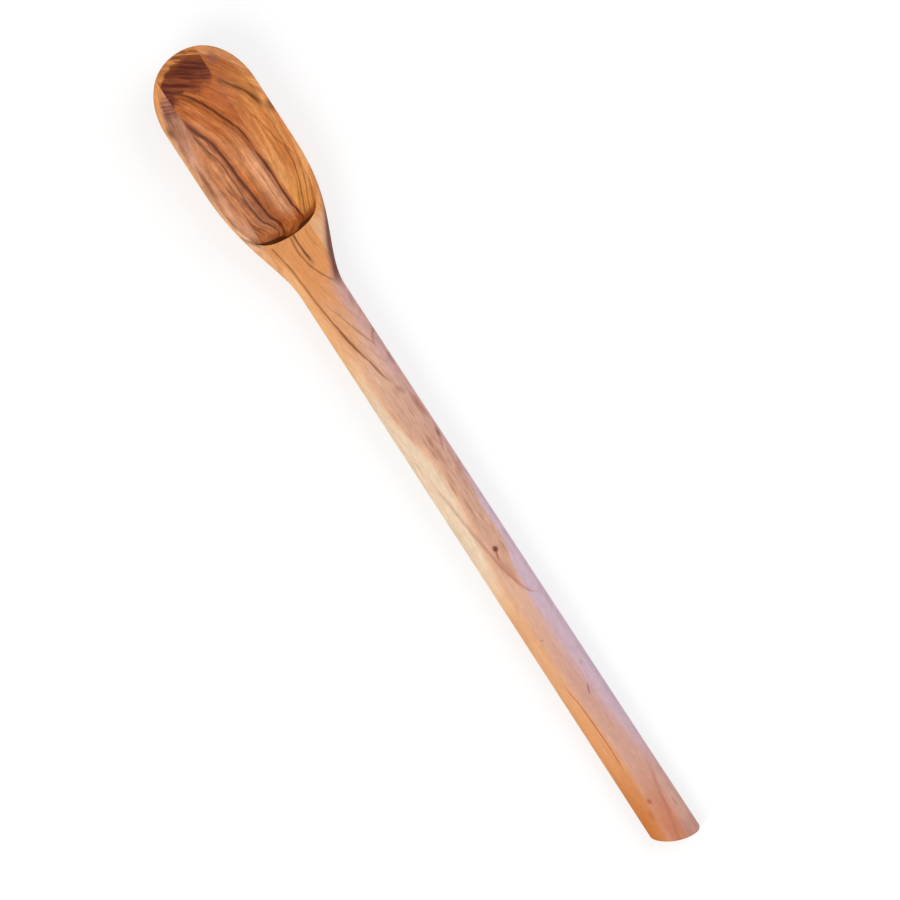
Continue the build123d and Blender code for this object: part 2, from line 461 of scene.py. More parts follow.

# %% [markdown]
# ### What each strip stands for
#
# Every carved strip takes the place of the CAD node of the same strip and moves with the same body. The
# three are glued, so one body carries them all.

# %% Put each strip in its CAD node's place
for piece, cad_node, slot in ((stave, "stave", "stave_wood"),
                              (right_cheek, "right_cheek", "right_cheek_wood"),
                              (left_cheek, "left_cheek", "left_cheek_wood")):
    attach(piece, body)
    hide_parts(cad_node)
    print(piece.name, "stands for", cad_node)

# %% [markdown]
# ## A shorter way to write nodes
#
# Every finish below is a tree of small nodes. Placed one by one they fill pages, so a recipe places a
# node, sets it and feeds its inputs in one line, and lays colours over each other as thin glazes. Effects
# that all three strips share become node groups with named inputs and outputs, so that each strip's own
# material stays short.

# %% Recipes
class Recipe:
    """A node tree that reads from top to bottom, one effect a line."""

    def __init__(self, tree):
        self.tree = tree
        self.colour = None

    def place(self, kind, values=(), **settings):
        """A node with its settings; each value is a number, a colour or another node's output."""
        made = self.tree.nodes.new(kind)
        made.location = (len(self.tree.nodes) % 10 * 190, -(len(self.tree.nodes) // 10) * 330)
        for name, value in settings.items():
            setattr(made, name, value)
        for key, value in dict(values).items():
            if isinstance(value, bpy.types.NodeSocket):
                self.tree.links.new(value, made.inputs[key])
            else:
                made.inputs[key].default_value = value
        return made

    def group(self, tree, **values):
        """A node group's outputs; its inputs are fed by name, with underscores for spaces."""
        values = {name.replace("_", " "): value for name, value in values.items()}
        return self.place("ShaderNodeGroup", values, node_tree=tree).outputs

    def math(self, operation, *values):
        return self.place("ShaderNodeMath", enumerate(values), operation=operation).outputs[0]

    def rise(self, value, low, high):
        """0 below low and 1 above high with a smooth step between; it falls where low is the larger."""
        values = {"Value": value, "From Min": low, "From Max": high}
        return self.place("ShaderNodeMapRange", values, interpolation_type="SMOOTHSTEP").outputs[0]

    def within(self, value, start, full, fading, end):
        """1 from full to fading, and 0 before start and after end."""
        return self.math("MULTIPLY", self.rise(value, start, full), self.rise(value, end, fading))

    def both(self, *masks):
        shared = masks[0]
        for mask in masks[1:]:
            shared = self.math("MULTIPLY", shared, mask)
        return shared

    def lay(self, mask, tone, strength=1.0, kind="MIX"):
        """Lays a tone over the colour so far, like a thin glaze, where the mask is above 0."""
        if strength != 1.0:
            mask = self.math("MULTIPLY", mask, strength)
        values = {0: mask, 6: self.colour, 7: tone}
        self.colour = self.place("ShaderNodeMix", values, data_type="RGBA", blend_type=kind).outputs[2]

    def point(self, x, y, z):
        return self.place("ShaderNodeCombineXYZ", {0: x, 1: y, 2: z}).outputs[0]

    def noise(self, point, detail=2.0, roughness=0.5):
        values = {"Vector": point, "Scale": 1.0, "Detail": detail, "Roughness": roughness}
        return self.place("ShaderNodeTexNoise", values).outputs["Fac"]

    def stretched(self, x, length, y, width, z=0.0, detail=2.0, roughness=0.5):
        """Noise stretched along the first coordinate, as fibres are."""
        point = self.point(self.math("DIVIDE", x, length), self.math("DIVIDE", y, width), z)
        return self.noise(point, detail, roughness)


def effect(name, inputs, outputs):
    """A node group with its recipe, its inputs and its outputs."""
    tree = bpy.data.node_groups.new(name, "ShaderNodeTree")
    for label, value in inputs.items():
        tree.interface.new_socket(name=label, in_out="INPUT",
                                  socket_type="NodeSocketFloat").default_value = value
    for label in outputs:
        tree.interface.new_socket(name=label, in_out="OUTPUT", socket_type="NodeSocketFloat")
    recipe = Recipe(tree)
    given = recipe.place("NodeGroupInput").outputs
    result = recipe.place("NodeGroupOutput").inputs
    return recipe, given, result


def send(recipe, result, **values):
    """Feeds a group's outputs by name."""
    for label, value in values.items():
        recipe.tree.links.new(value, result[label.replace("_", " ")])

# %% [markdown]
# ## Where a point lies in the wood
#
# The figure of real wood is solid: the same growth layers come out on the rim, in the hollow and
# underneath. So the colours are placed in the strip's own space and never on a flat picture: along the
# spoon from the tip, across it, and in the growth layers, which lean, so that a layer moves sideways as
# the hollow cuts deeper.

# %% Strip space
def make_strip_space():
    recipe, given, result = effect("Strip space", {"Lean": 0.6, "Wander": 0.9, "Seed": 0.0},
                                   ["Along", "Across", "Depth", "Layer", "Upward"])
    coordinates = recipe.place("ShaderNodeTexCoord").outputs
    x, y, z = recipe.place("ShaderNodeSeparateXYZ", {0: coordinates["Object"]}).outputs
    facing = recipe.place("ShaderNodeSeparateXYZ", {0: coordinates["Normal"]}).outputs
    along = recipe.math("MULTIPLY", recipe.math("SUBTRACT", x, tip_x), 1 / mm)
    across = recipe.math("MULTIPLY", y, 1 / mm)
    height = recipe.math("MULTIPLY", z, 1 / mm)
    rim = recipe.math("MULTIPLY_ADD", along, -rim_slope, rim_z(0) / mm)
    depth = recipe.math("SUBTRACT", rim, height)
    layer = recipe.math("SUBTRACT", across, recipe.math("MULTIPLY", depth, given["Lean"]))
    slow = recipe.stretched(along, 14.0, layer, 4.5, given["Seed"])
    fast = recipe.stretched(along, 3.0, layer, 1.3, given["Seed"])
    wander = recipe.math("MULTIPLY_ADD", recipe.math("SUBTRACT", fast, 0.5), 0.35,
                         recipe.math("SUBTRACT", slow, 0.5))
    layer = recipe.math("MULTIPLY_ADD", wander, given["Wander"], layer)
    send(recipe, result, Along=along, Across=across, Depth=depth, Layer=layer,
         Upward=recipe.rise(facing[2], 0.0, 0.12))
    return recipe.tree


strip_space = make_strip_space()
print("Group:", strip_space.name)

# %% [markdown]
# ## Growth lines
#
# A dark growth line is where summer wood ended: it has a dark core, and a haze on the side of the older
# wood. Its path is a curve drawn through a few points, in the layers' space. Noise alone makes
# rings too, but never the ones that this spoon has, so noise is only used to make the drawn lines tremble
# and to break them up.

# %% Growth line
def make_growth_line():
    recipe, given, result = effect(
        "Growth line",
        {"Along": 0.0, "Layer": 0.0, "Path": 0.0, "Offset": 0.0, "Width": 0.6, "Haze Width": -2.5,
         "Start": 0.0,
         "End": 90.0, "Fade": 6.0, "Seed": 0.0, "Strength": 1.0, "Core Below": 0.0, "Haze Below": 0.0},
        ["Core", "Haze"])
    away = recipe.math("SUBTRACT", given["Layer"], recipe.math("ADD", given["Path"], given["Offset"]))
    breaks = recipe.stretched(given["Along"], 7.0, given["Layer"], 3.0, given["Seed"])
    width = recipe.math("MULTIPLY", given["Width"], recipe.rise(breaks, 0.1, 0.75))
    core = recipe.rise(recipe.math("ABSOLUTE", away), recipe.math("MULTIPLY_ADD", width, 1.3, 0.12), 0.0)
    side = recipe.math("DIVIDE", away, given["Haze Width"])
    streaks = recipe.stretched(given["Along"], 12.0, given["Layer"], 0.5, given["Seed"], 3.0)
    haze = recipe.both(recipe.rise(side, 1.0, 0.0), recipe.rise(side, -0.12, 0.02),
                       recipe.rise(streaks, 0.30, 0.62))
    starting = recipe.rise(given["Along"], given["Start"], recipe.math("ADD", given["Start"], given["Fade"]))
    ending = recipe.rise(given["Along"], given["End"], recipe.math("SUBTRACT", given["End"], given["Fade"]))
    run = recipe.both(starting, ending, given["Strength"])
    send(recipe, result, Core=recipe.math("MAXIMUM", recipe.both(core, run), given["Core Below"]),
         Haze=recipe.math("MAXIMUM", recipe.both(haze, run), given["Haze Below"]))
    return recipe.tree


growth_line = make_growth_line()
print("Group:", growth_line.name)

# %% Flame
def make_flame():
    """Where a layer comes to the surface and dives again, its line turns back on itself in a flame."""
    recipe, given, result = effect(
        "Flame",
        {"Along": 0.0, "Layer": 0.0, "Tip": 100.0, "Axis": 0.0, "Left Spread": 1.5, "Right Spread": 2.5,
         "Power": 1.5, "Width": 0.6, "Haze Width": 2.5, "Reach": 20.0, "Seed": 0.0, "Strength": 1.0,
         "Core Below": 0.0, "Haze Below": 0.0},
        ["Core", "Haze"])
    away = recipe.math("SUBTRACT", given["Layer"], given["Axis"])
    right = recipe.math("GREATER_THAN", away, 0.0)
    distance = recipe.math("MAXIMUM", recipe.math("ABSOLUTE", away), 0.05)
    difference = recipe.math("SUBTRACT", given["Right Spread"], given["Left Spread"])
    spread = recipe.math("MULTIPLY_ADD", right, difference, given["Left Spread"])
    back = recipe.math("MULTIPLY", recipe.math("POWER", distance, given["Power"]), spread)
    slope = recipe.math("DIVIDE", recipe.math("MULTIPLY", back, given["Power"]), distance)
    steep = recipe.math("SQRT", recipe.math("MULTIPLY_ADD", slope, slope, 1.0))
    ahead = recipe.math("SUBTRACT", recipe.math("ADD", given["Along"], back), given["Tip"])
    away_from_line = recipe.math("DIVIDE", ahead, steep)
    breaks = recipe.stretched(given["Along"], 6.0, given["Layer"], 1.5, given["Seed"])
    width = recipe.math("MULTIPLY", given["Width"], recipe.rise(breaks, 0.1, 0.75))
    core = recipe.rise(recipe.math("ABSOLUTE", away_from_line),
                       recipe.math("MULTIPLY_ADD", width, 1.3, 0.1), 0.0)
    side = recipe.math("DIVIDE", away_from_line, recipe.math("MULTIPLY", given["Haze Width"], -1.0))
    haze = recipe.both(recipe.rise(side, 1.0, 0.0), recipe.rise(side, -0.15, 0.02))
    near = recipe.rise(back, given["Reach"], recipe.math("MULTIPLY", given["Reach"], 0.4))
    near = recipe.both(near, given["Strength"])
    send(recipe, result, Core=recipe.math("MAXIMUM", recipe.both(core, near), given["Core Below"]),
         Haze=recipe.math("MAXIMUM", recipe.both(haze, near), given["Haze Below"]))
    return recipe.tree


flame = make_flame()
print("Group:", flame.name)

# %% [markdown]
# ## Marks
#
# Knots, short dashes of resin and dots are all small long ellipses with a soft edge, laid along the fibres.

# %% Mark
def make_mark():
    recipe, given, result = effect(
        "Mark",
        {"Along": 0.0, "Across": 0.0, "Centre Along": 0.0, "Centre Across": 0.0, "Half Length": 2.0,
         "Half Width": 0.3, "Slant": 0.0, "Softness": 0.8, "Strength": 1.0, "Below": 0.0},
        ["Mask"])
    x = recipe.math("SUBTRACT", given["Along"], given["Centre Along"])
    y = recipe.math("SUBTRACT", given["Across"], given["Centre Across"])
    y = recipe.math("SUBTRACT", y, recipe.math("MULTIPLY", x, given["Slant"]))
    x = recipe.math("DIVIDE", x, given["Half Length"])
    y = recipe.math("DIVIDE", y, given["Half Width"])
    round_distance = recipe.math("SQRT", recipe.math("MULTIPLY_ADD", x, x, recipe.math("MULTIPLY", y, y)))
    outer = recipe.math("ADD", 1.0, given["Softness"])
    inner = recipe.math("SUBTRACT", 1.0, given["Softness"])
    shown = recipe.both(recipe.rise(round_distance, outer, inner), given["Strength"])
    send(recipe, result, Mask=recipe.math("MAXIMUM", shown, given["Below"]))
    return recipe.tree


mark = make_mark()
print("Group:", mark.name)

# %% [markdown]
# ## Fibres and pores
#
# Between the growth lines the wood is made of fibres that run with the layers, and of open pores that
# catch oil and look like fine dark scratches. All of it comes from noise that is stretched many times
# along the grain, at four scales: broad bands, streaks, fibres and pores. A soft mottle breaks them up, as
# curly grain does.

# %% Fibre
def make_fibre():
    recipe, given, result = effect(
        "Fibre", {"Along": 0.0, "Layer": 0.0, "Depth": 0.0, "Seed": 0.0},
        ["Bands", "Streaks", "Fibres", "Pores", "Mottle", "Height"])
    along, layer, seed = given["Along"], given["Layer"], given["Seed"]
    level = recipe.math("MULTIPLY_ADD", given["Depth"], 0.22, seed)
    bands = recipe.stretched(along, 34.0, layer, 2.4, level, 2.0)
    streaks = recipe.stretched(along, 13.0, layer, 0.75, level, 3.0, 0.6)
    fibres = recipe.stretched(along, 3.6, layer, 0.30, level, 3.0, 0.65)
    pores = recipe.rise(recipe.stretched(along, 1.9, layer, 0.15, level, 1.0), 0.60, 0.76)
    mottle = recipe.stretched(along, 3.2, layer, 2.2, level, 3.0, 0.6)
    height = recipe.math("SUBTRACT", fibres, recipe.math("MULTIPLY", pores, 0.8))
    send(recipe, result, Bands=bands, Streaks=streaks, Fibres=fibres, Pores=pores, Mottle=mottle,
         Height=height)
    return recipe.tree


fibre = make_fibre()
print("Groups:", ", ".join(sorted(group.name for group in bpy.data.node_groups)))

# %% [markdown]
# ## Colours
#
# A palette of a few woods is enough, because masks mix them. They are written as a screen shows them, from
# 0 to 255, and turned into the linear light that the renderer works in.

# %% Palette
def tone(red, green, blue):
    """A screen colour as linear light."""
    def linear(value):
        share = value / 255
        return share / 12.92 if share <= 0.04045 else ((share + 0.055) / 1.055) ** 2.4
    return (linear(red), linear(green), linear(blue), 1.0)


tan = tone(228, 152, 92)
amber = tone(249, 186, 127)
orange = tone(230, 158, 102)
deep_orange = tone(208, 122, 54)
cream = tone(242, 213, 183)
rose = tone(228, 181, 155)
dusky_rose = tone(210, 158, 143)
lilac = tone(206, 158, 155)
lavender = tone(210, 179, 192)
russet = tone(202, 114, 52)
light_russet = tone(228, 154, 100)
umber = tone(74, 28, 8)
brown = tone(132, 68, 28)
mauve = tone(146, 92, 88)
plum = tone(82, 27, 21)
heartwood = tone(212, 163, 139)
ochre = tone(228, 150, 86)
gold = tone(241, 174, 106)
blush = tone(241, 194, 170)
olive = tone(104, 62, 26)
resin = tone(112, 42, 38)
rust = tone(178, 86, 52)
print("Palette mixed; umber is %.3f, %.3f, %.3f in linear light" % umber[:3])

# %% Common steps of a strip's material
def new_material(name):
    material = bpy.data.materials.new(name)
    material.use_nodes = True
    material.node_tree.nodes.clear()
    return material, Recipe(material.node_tree)


def strip_material(name, **values):
    """A new material with its recipe, and where a point lies in the strip's own space."""
    material, wood = new_material(name)
    space = wood.group(strip_space, **values)
    return material, wood, *(space[label] for label in ("Along", "Across", "Depth", "Layer", "Upward"))


def tell(step, recipe):
    """Prints which step is done and how large the recipe has grown."""
    print("%s: %d nodes so far" % (step, len(recipe.tree.nodes)))


def path(recipe, value, points):
    """A drawn line: its place for each value, level before its first point and after its last."""
    first, last = points[0][0], points[-1][0]
    low, high = min(place for _, place in points), max(place for _, place in points)
    values = {"Value": value, "From Min": first, "From Max": last}
    share = recipe.place("ShaderNodeMapRange", values).outputs[0]
    placed = recipe.place("ShaderNodeFloatCurve", {"Value": share})
    curve = placed.mapping.curves[0]
    wanted = [((station - first) / (last - first), (place - low) / (high - low))
              for station, place in points]
    curve.points[0].location, curve.points[1].location = wanted[0], wanted[-1]
    for place in wanted[1:-1]:
        curve.points.new(*place)
    for point in curve.points:
        point.handle_type = "AUTO_CLAMPED"
    placed.mapping.update()
    return recipe.math("MULTIPLY_ADD", placed.outputs[0], high - low, low)


def draw_lines(wood, along, layer, lines, core, haze, haze_strength=0.6, only=None):
    """Lays growth lines of one colour, their hazes first, and gives their cores for the surface."""
    below = {"Core_Below": 0.0, "Haze_Below": 0.0}
    for route, values in lines:
        line = wood.group(growth_line, Along=along, Layer=layer, Path=route, **values, **below)
        below = {"Core_Below": line["Core"], "Haze_Below": line["Haze"]}
    cores, hazes = below["Core_Below"], below["Haze_Below"]
    if only is not None:
        cores, hazes = wood.both(cores, only), wood.both(hazes, only)
    wood.lay(hazes, haze, haze_strength)
    wood.lay(cores, core)
    return cores


def lay_marks(wood, along, across, upward, marks, colour):
    """Dots and dashes of one colour on the upper side: place, half size, slant, softness and strength."""
    glaze = 0.0
    for centre_along, centre_across, half_length, half_width, slant, softness, strength in marks:
        glaze = wood.group(mark, Along=along, Across=across, Centre_Along=centre_along,
                           Centre_Across=centre_across, Half_Length=half_length, Half_Width=half_width,
                           Slant=slant, Softness=softness, Strength=strength, Below=glaze)["Mask"]
    wood.lay(wood.both(glaze, upward), colour)


def weather(wood, fibres, contrast):
    """Streaks, fibres and a soft mottle, as light and dark over the finished figure, and the dark pores."""
    light = wood.math("MULTIPLY_ADD", wood.math("SUBTRACT", fibres["Streaks"], 0.5), 1.1, 0.0)
    light = wood.math("MULTIPLY_ADD", wood.math("SUBTRACT", fibres["Fibres"], 0.5), 0.9, light)
    light = wood.math("MULTIPLY_ADD", wood.math("SUBTRACT", fibres["Mottle"], 0.5), 0.7, light)
    light = wood.math("MULTIPLY_ADD", light, contrast, 1.0)
    wood.lay(1.0, light, kind="MULTIPLY")
    wood.lay(wood.math("MULTIPLY", fibres["Pores"], contrast), brown, 0.3)


def lay_flank_shade_band(wood, along, across):
    """Painted shade down the neck's right flank: a soft mauve band, darker at its outer edge, which crosses
    from the stave to the right cheek.
    """
    band_path = path(wood, along,
                     [(60, 15.0), (66, 13.2), (70, 11.2), (75, 8.4), (80, 5.9), (84, 4.5), (87, 3.4),
                                   (90, 2.4), (94, 2.4)])
    side = wood.math("SUBTRACT", across, band_path)
    shown = wood.within(along, 60.0, 66.0, 86.0, 94.0)
    wood.lay(wood.both(wood.rise(side, -1.0, 1.2), shown), mauve, 0.7)
    wood.lay(wood.both(wood.rise(side, 0.3, 1.5), shown), tone(92, 52, 50), 0.75)


def lay_wall_shade_and_end_grain(wood, along, across, depth, upward):
    """The steep wall at the neck's end of the hollow, darkened partly as painted shade and partly as end
    grain that drinks oil.
    """
    inner = path(wood, across, [(-14.0, 63.0), (-13.0, 64.6), (-11.5, 66.0), (-9.0, 67.0), (-6.0, 67.5),
                                (-3.5, 68.1), (-1.0, 69.3), (1.5, 69.3), (3.0, 68.3),
                                (5.0, 67.8), (7.0, 67.7), (9.0, 67.3), (10.5, 66.8), (11.5, 66.2),
                                (13.0, 65.4)])
    inside = wood.math("SUBTRACT", along, inner)
    behind = path(wood, across, [(-14.0, 65.0), (-12.0, 67.4), (-10.5, 68.6), (-8.0, 69.7), (-5.0, 70.3),
                                 (0.0, 70.5), (5.0, 70.2), (8.0, 69.8), (10.0, 69.0), (11.5, 68.0),
                                 (13.0, 66.6)])
    before = wood.rise(wood.math("SUBTRACT", behind, along), -0.3, 0.3)
    hollow = wood.both(wood.rise(depth, 0.05, 0.35), upward, wood.rise(across, 12.8, 11.6), before,
                       wood.rise(across, -13.6, -12.2))
    wood.lay(wood.both(hollow, wood.rise(inside, -3.4, -0.2)), tone(164, 82, 18), 0.6)
    wood.lay(wood.both(hollow, wood.rise(inside, -2.6, -0.6), wood.rise(across, 3.0, 7.0)),
             tone(148, 62, 2), 0.7)
    wood.lay(wood.both(hollow, wood.rise(inside, -0.4, 0.3)), tone(60, 22, 6), 0.92)


def oil(wood, fibres, lines, roughness=0.44, grain_height=0.04):
    """The satin, oiled surface that every strip shares: sheen and an open grain."""
    grain = wood.math("SUBTRACT", fibres["Fibres"], 0.5)
    rough = wood.math("MULTIPLY_ADD", grain, 0.18, roughness)
    rough = wood.math("MULTIPLY_ADD", fibres["Pores"], 0.12, rough)
    rough = wood.math("MULTIPLY_ADD", lines, 0.05, rough)
    bump = wood.place("ShaderNodeBump", {"Height": fibres["Height"], "Strength": 0.4,
                                         "Distance": grain_height * mm})
    values = {"Base Color": wood.colour, "Roughness": rough, "Normal": bump.outputs[0], "IOR": 1.46,
              "Specular IOR Level": 0.28}
    surface = wood.place("ShaderNodeBsdfPrincipled", values)
    wood.place("ShaderNodeOutputMaterial", {"Surface": surface.outputs[0]})

# %% [markdown]
# ## The stave
#
# One strip from the tip to the handle's end, so its figure tells the whole story: dark growth lines sweep
# through the hollow, come up at the neck and close in flames, the sapwood runs cream along the left of the
# handle, and a small knot sits in the heartwood.

# %% Stave: its space and how its fibres flow
stave_material, wood, along, across, depth, layer, upward = strip_material(
    "stave_wood", Lean=0.6, Wander=0.9, Seed=3.0)
first_points = [(0, -14), (8, -10.9), (10.5, -10.0), (13, -8.6), (16, -7.5), (20, -6.2),
                (24, -4.8), (28, -3.0), (32, -1.5), (36, -1.1), (41, -1.0), (46, -0.7), (52, -0.6),
                (60, -0.6), (62, 0.0), (65, 1.6), (67, 2.7), (68.5, 2.6), (70, 2.0)]
second_points = [(0, -17), (14, -14.9), (20.5, -14.0), (24, -13.4), (28, -12.1), (32, -11.4), (38, -10.9),
                 (44, -10.6), (50, -10.1), (55, -9.7), (60, -9.3), (62, -8.3), (64, -7.3), (66, -6.2),
                 (67.5, -5.4), (69, -4.9), (70, -5.2)]
upper_flow = path(wood, along, first_points + [(72, 0.4), (84, 0.8), (95, 1.6), (130, 3.0), (200, 2.0)])
lower_flow = path(wood, along, second_points + [(72, -7.6), (80, -6.9), (90, -6.5), (110, -3.9), (125, -2.4),
                                                (200, -4.6), (305, -6.0)])
flow = wood.math("DIVIDE", wood.math("SUBTRACT", layer, lower_flow),
                 wood.math("SUBTRACT", upper_flow, lower_flow))
flow = wood.math("MULTIPLY", flow, 9.0)
fibres = wood.group(fibre, Along=along, Layer=flow, Depth=depth, Seed=1.0)
tell("Stave's space and flow", wood)

# %% [markdown]
# ### Ground colours of the handle
#
# On the real handle the colours lie in long ribbons: cream sapwood on the left, rose in the middle,
# lavender on the right; the lilac and lavender on the right are partly the wood's tone and partly a painted
# cool reflection. Noise could scatter such colours but not put them there, so each ribbon's edge is drawn.

# %% Stave: ground colour of the neck and the handle
rose_from = path(wood, along,
                 [(86, 4.2), (92, 2.4), (100, 1.0), (108, -1.0), (118, -3.6), (128, -5.4), (137, -5.2),
                               (143, -4.2), (150, -3.0), (155, -2.0), (160, -1.5), (172, -1.9), (182, -3.1),
                               (195, -4.2), (210, -5.2), (225, -5.0), (245, -4.8), (257, -4.2), (272, -3.6),
                               (285, -3.8), (305, -4.8)])
beyond_rose = wood.math("SUBTRACT", across, rose_from)
wood.colour = tan
wood.lay(wood.rise(along, 84.0, 104.0), tone(232, 168, 124), 0.85)
wood.lay(wood.both(wood.rise(across, -5.0, -8.6), wood.rise(along, 70.0, 84.0)), amber)
wood.lay(wood.both(wood.rise(beyond_rose, 1.2, -2.6), wood.within(along, 104.0, 138.0, 190.0, 222.0)), cream)
wood.lay(wood.both(wood.rise(beyond_rose, 1.0, -2.4), wood.rise(along, 222.0, 268.0)), orange)
wood.lay(wood.both(wood.rise(beyond_rose, 1.4, -3.0), wood.rise(along, 262.0, 296.0)), deep_orange)
wood.lay(wood.both(wood.rise(beyond_rose, 1.0, -2.4), wood.within(along, 204.0, 220.0, 232.0, 256.0)),
         tone(226, 168, 126), 0.6)
wood.lay(wood.both(wood.rise(beyond_rose, -1.8, 1.6), wood.rise(along, 90.0, 122.0)), rose, 0.9)
# Lilac on the right of the neck and handle: partly the wood's tone, partly a painted cool reflection.
wood.lay(wood.both(wood.rise(across, -0.8, 3.4), wood.within(along, 84.0, 93.0, 150.0, 190.0)), lilac, 0.8)
wood.lay(wood.both(wood.rise(beyond_rose, -1.8, 2.4), wood.rise(along, 205.0, 245.0)), dusky_rose, 0.85)
wood.lay(wood.both(wood.rise(beyond_rose, -3.4, 1.2), wood.rise(across, 3.4, -0.6),
                   wood.rise(along, 270.0, 298.0)),
         tone(204, 126, 88), 0.85)
# Lavender on the right of the handle: partly the wood's tone, partly a painted cool reflection.
lavender_from = path(wood, along, [(130, 4.6), (150, 4.2), (170, 3.8), (178, 2.9), (190, 2.8), (195, 1.9),
                                   (198, 1.0), (202, 0.4), (206, 0.2), (212, -0.6), (225, -0.9), (240, -0.4),
                                   (255, 0.6), (264, 1.6), (276, 3.2), (300, 6.0)])
softness = wood.math("MULTIPLY_ADD", wood.rise(along, 204.0, 225.0), 2.6, 0.9)
lavender_and_reflection_side = wood.rise(wood.math("DIVIDE", wood.math("SUBTRACT", across, lavender_from), softness), -0.5,
                          1.0)
wood.lay(wood.both(lavender_and_reflection_side, wood.within(along, 150.0, 178.0, 255.0, 300.0)), lavender, 0.95)
corner = wood.both(wood.rise(across, -0.5, 1.5), wood.rise(along, 296.0, 301.5))
wood.lay(corner, tone(182, 128, 118), 0.6)
tell("Ground of the handle", wood)

# %% [markdown]
# ### The heartwood's tongue
#
# The darker heartwood gets narrower along the handle and ends in a rounded tongue. It is a mask between
# drawn edges and no piece of its own, because the surface runs on over it.

# %% Stave: heartwood that ends in a tongue
arc = path(wood, along, [(136, -8.6), (150, -8.0), (160, -7.0), (170, -5.8), (180, -4.8),
                         (190, -3.5), (196, -2.8), (200, -2.0), (203, -1.1), (206, -0.2), (208.5, 1.0),
                         (210.5, 3.2)])
heart = wood.both(wood.rise(wood.math("SUBTRACT", across, arc), 0.0, 1.8), wood.rise(beyond_rose, -0.4, 1.4),
                  wood.rise(lavender_and_reflection_side, 0.7, 0.1), wood.within(along, 120.0, 140.0, 207.5, 209.5))
wood.lay(heart, heartwood, 0.75)
dashes = wood.rise(wood.stretched(along, 7.0, across, 0.8, 7.0, 3.0, 0.6), 0.52, 0.66)
wood.lay(wood.both(heart, dashes, wood.rise(across, -3.4, -1.0)), tone(190, 124, 96), 0.5)
arc_line = wood.both(wood.rise(wood.math("ABSOLUTE", wood.math("SUBTRACT", across, arc)), 0.9, 0.0),
                     wood.within(along, 140.0, 195.0, 208.5, 211.0))
wood.lay(arc_line, tone(178, 120, 106), 0.6)
tell("Heartwood", wood)

# %% [markdown]
# ### Ground colours of the bowl
#
# The hollow cuts through the layers, so its colour changes from layer to layer. The masks read the flow,
# which is 0 at one main growth line and 9 at the other, and so they bend with the lines.

# %% Stave: ground colour of the bowl
wall = wood.both(wood.rise(depth, 0.05, 0.9), wood.rise(along, 79.0, 73.0))
in_bowl = wood.math("MAXIMUM", wood.rise(along, 67.5, 63.0), wall)
wood.lay(in_bowl, russet)
pale_patch = wood.both(wood.within(along, 24.0, 38.0, 54.0, 64.0), wood.within(flow, 1.0, 3.0, 6.0, 8.6))
wood.lay(pale_patch, light_russet, 0.7)
wood.lay(wood.both(in_bowl, wood.rise(fibres["Bands"], 0.48, 0.64)), light_russet, 0.55)
wood.lay(wood.both(in_bowl, wood.rise(fibres["Bands"], 0.48, 0.36)), brown, 0.35)
wood.lay(wood.both(in_bowl, wood.rise(flow, 8.5, 11.0), wood.rise(along, 62.0, 34.0)),
         tone(180, 92, 34), 0.6)
golden = wood.both(in_bowl, wood.rise(flow, 9.2, 10.6), wood.within(along, 26.0, 38.0, 61.0, 67.0))
wood.lay(golden, tone(226, 150, 86), 0.7)
beyond = wood.both(in_bowl, wood.rise(flow, 0.2, -2.0))
wood.lay(beyond, tone(226, 152, 104), 0.4)
wood.lay(wood.both(beyond, wood.rise(fibres["Streaks"], 0.44, 0.60)), light_russet, 0.8)
wood.lay(wood.both(beyond, wood.rise(fibres["Streaks"], 0.47, 0.36)), brown, 0.45)
tip_rim = wood.rise(depth, 1.2, 0.1)
wood.lay(wood.both(tip_rim, wood.rise(along, 9.0, 3.0)), ochre, 0.7)
wood.lay(wood.both(in_bowl, wood.within(flow, 2.0, 5.5, 8.0, 9.4),
                   wood.within(along, 34.0, 44.0, 60.0, 66.0)),
         tone(240, 182, 140), 0.55)
tell("Ground of the bowl", wood)

# %% [markdown]
# ### Growth lines of the bowl
#
# Three strong lines and some finer ones sweep through the hollow. The finer ones repeat a strong one's
# path a little way off, as years that grew alike, which keeps them from crossing it.

# %% Stave: growth lines
hollow = wood.both(wood.rise(depth, 0.05, 0.3), wood.rise(along, 70.6, 70.2))
first = path(wood, along, first_points)
second = path(wood, along, second_points)
third = path(wood, along, [(22, -14.6), (28, -14.0), (32, -13.4), (37, -12.6), (42, -12.4), (46, -12.1),
                           (52, -12.2), (58, -11.9), (60, -11.6), (62, -10.6), (63.5, -9.5), (65.5, -8.1),
                           (67, -7.4), (69, -6.6)])
finer_lines = [(third, dict(Offset=offset, Start=start, End=end, Strength=strength, Width=0.4,
                            Haze_Width=-1.3))
               for offset, start, end, strength in ((-1.3, 38.0, 68.0, 0.4), (-2.4, 30.0, 67.0, 0.4),
                                                    (0.75, 40.0, 66.0, 0.4))]
finer_lines += [(first, dict(Offset=offset, Start=start, End=end, Strength=strength, Width=0.35,
                             Haze_Width=-1.3))
                for offset, start, end, strength in ((0.9, 22.0, 62.0, 0.2), (-1.5, 9.0, 66.0, 0.4),
                                                     (-2.9, 10.0, 40.0, 0.35), (2.4, 30.0, 66.0, 0.3),
                                                     (-3.6, 42.0, 68.0, 0.3))]
draw_lines(wood, along, layer, finer_lines, brown, brown, 0.3, hollow)
main_lines = draw_lines(wood, along, layer, (
    (first, dict(Start=8.0, Strength=0.9, Width=0.85, Haze_Width=-3.0, Seed=1.0)),
    (second, dict(Start=18.0, Strength=0.9, Width=0.85, Haze_Width=-2.0, Seed=2.0)),
    (third, dict(Start=22.0, Strength=0.65, Width=0.55, Haze_Width=-1.7, Seed=4.0))), umber, brown,
                        0.65, hollow)
tell("Growth lines of the bowl", wood)

# %% [markdown]
# ### Growth lines of the neck
#
# Behind the hollow the layers come out on the top of the neck, softer and lighter. They have paths of
# their own there, because the lines of the hollow end at its wall.

